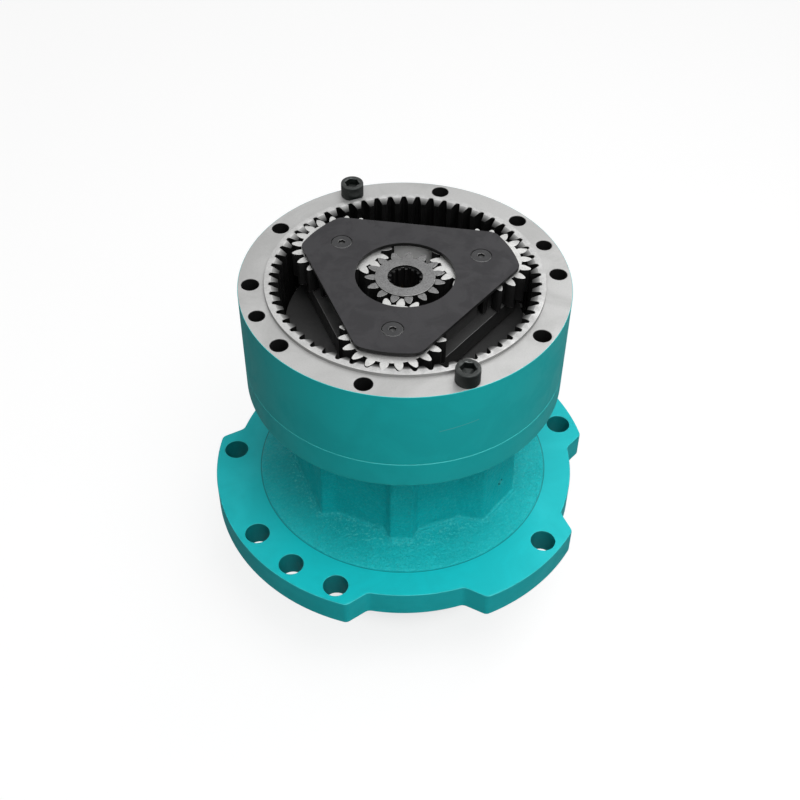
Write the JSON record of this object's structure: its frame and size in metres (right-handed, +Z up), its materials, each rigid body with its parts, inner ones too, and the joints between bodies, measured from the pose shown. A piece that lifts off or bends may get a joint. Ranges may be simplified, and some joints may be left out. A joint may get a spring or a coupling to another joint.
{
  "type": "excavator swing gearbox",
  "caption": "Two-stage planetary gearbox with a ribbed flanged housing, open ring gear for the motor and a pinion output shaft.",
  "frame": {"origin": "on the output axis in the seat plane of the base flange, at the top end of the pilot spigot and the centre of the bolt circle", "axes": "+Z up along the output axis, from the pinion towards the motor face; +X through one of the ring gear's dowel holes and the first planet of each stage; +Y completes a right-handed frame"},
  "size_m": [0.422, 0.4215, 0.4217],
  "materials": {
    "casting_paint": "turquoise gloss enamel over a rough casting",
    "ring_paint": "turquoise enamel on the outside, bare machined steel on the top face and in the teeth",
    "ground_gear_steel": "bare gear steel, bright tooth ends",
    "sun_steel": "oiled gear steel, speckled grey",
    "plate_steel": "dark satin ground steel",
    "carrier_iron": "oiled nodular iron, machined",
    "screw_steel": "black oxide",
    "flat_screw_steel": "dark with worn bright edges",
    "bearing_steel": "ground bearing steel",
    "pin_steel": "ground pin steel",
    "washer_bronze": "oiled bronze",
    "seal_rubber": "black nitrile rubber",
    "shaft_steel": "machined and oiled steel",
    "spring_steel": "phosphated spring steel"
  },
  "bodies": {
    "case": {"housing": "casting_paint", "ring_gear": "ring_paint", "ring_cap_screws": "screw_steel", "ring_dowels": "pin_steel", "register_seal": "seal_rubber", "upper_bearing_cup": "bearing_steel", "lower_bearing_cup": "bearing_steel", "seal_carrier": "shaft_steel", "oil_seal": "seal_rubber", "seal_circlip": "spring_steel"},
    "output": {"pinion_shaft": "shaft_steel", "seal_collar": "shaft_steel", "lower_bearing_cone": "bearing_steel", "upper_bearing_cone": "bearing_steel", "carrier_2": "carrier_iron", "stage_2_pins": "pin_steel", "stage_2_lock_pins": "pin_steel", "stage_2_washers": "washer_bronze", "stage_2_needle_bearings": "bearing_steel", "shaft_retainer": "plate_steel", "retainer_screws": "screw_steel"},
    "lower_rollers": {"lower_bearing_rollers": "bearing_steel"},
    "upper_rollers": {"upper_bearing_rollers": "bearing_steel"},
    "carrier_1": {"carrier_1_spider": "carrier_iron", "carrier_1_top_plate": "plate_steel", "top_plate_screws": "flat_screw_steel", "stage_1_pins": "pin_steel", "stage_1_needle_bearings": "bearing_steel", "stage_1_washers": "washer_bronze", "sun_gear_2": "sun_steel", "sun_2_snap_ring": "spring_steel", "centre_spacer": "washer_bronze"},
    "sun_1": {"sun_gear_1": "sun_steel"},
    "planet_1a": {"planet_1a": "ground_gear_steel"},
    "planet_1b": {"planet_1b": "ground_gear_steel"},
    "planet_1c": {"planet_1c": "ground_gear_steel"},
    "planet_2a": {"planet_2a": "ground_gear_steel"},
    "planet_2b": {"planet_2b": "ground_gear_steel"},
    "planet_2c": {"planet_2c": "ground_gear_steel"}
  },
  "joints": [
    {"name": "output_spin", "type": "hinge", "parent": "case", "child": "output", "pos_m": [0, 0, 0], "axis": [0, 0, 1], "continuous": true},
    {"name": "carrier_1_spin", "type": "hinge", "parent": "case", "child": "carrier_1", "pos_m": [0, 0, 0.257], "axis": [0, 0, 1], "continuous": true},
    {"name": "sun_1_spin", "type": "hinge", "parent": "case", "child": "sun_1", "pos_m": [0, 0, 0.283], "axis": [0, 0, 1], "continuous": true},
    {"name": "lower_roller_orbit", "type": "hinge", "parent": "case", "child": "lower_rollers", "pos_m": [0, 0, 0.02], "axis": [0, 0, 1], "continuous": true},
    {"name": "upper_roller_orbit", "type": "hinge", "parent": "case", "child": "upper_rollers", "pos_m": [0, 0, 0.139], "axis": [0, 0, 1], "continuous": true},
    {"name": "planet_1a_spin", "type": "hinge", "parent": "carrier_1", "child": "planet_1a", "pos_m": [0.0819, 0, 0.2825], "axis": [0, 0, 1], "continuous": true},
    {"name": "planet_2a_spin", "type": "hinge", "parent": "output", "child": "planet_2a", "pos_m": [0.08872, 0, 0.2165], "axis": [0, 0, 1], "continuous": true},
    {"name": "planet_1b_spin", "type": "hinge", "parent": "carrier_1", "child": "planet_1b", "pos_m": [-0.04095, 0.07093, 0.2825], "axis": [0, 0, 1], "continuous": true},
    {"name": "planet_2b_spin", "type": "hinge", "parent": "output", "child": "planet_2b", "pos_m": [-0.04436, 0.07684, 0.2165], "axis": [0, 0, 1], "continuous": true},
    {"name": "planet_1c_spin", "type": "hinge", "parent": "carrier_1", "child": "planet_1c", "pos_m": [-0.04095, -0.07093, 0.2825], "axis": [0, 0, 1], "continuous": true},
    {"name": "planet_2c_spin", "type": "hinge", "parent": "output", "child": "planet_2c", "pos_m": [-0.04436, -0.07684, 0.2165], "axis": [0, 0, 1], "continuous": true}
  ],
  "couplings": [
    {"joint": "carrier_1_spin", "follows": "output_spin", "ratio": 3.7143},
    {"joint": "sun_1_spin", "follows": "output_spin", "ratio": 17.829},
    {"joint": "lower_roller_orbit", "follows": "output_spin", "ratio": 0.4359},
    {"joint": "upper_roller_orbit", "follows": "output_spin", "ratio": 0.43781},
    {"joint": "planet_1a_spin", "follows": "output_spin", "ratio": -10.586},
    {"joint": "planet_2a_spin", "follows": "output_spin", "ratio": -3.1667},
    {"joint": "planet_1b_spin", "follows": "output_spin", "ratio": -10.586},
    {"joint": "planet_2b_spin", "follows": "output_spin", "ratio": -3.1667},
    {"joint": "planet_1c_spin", "follows": "output_spin", "ratio": -10.586},
    {"joint": "planet_2c_spin", "follows": "output_spin", "ratio": -3.1667}
  ]
}
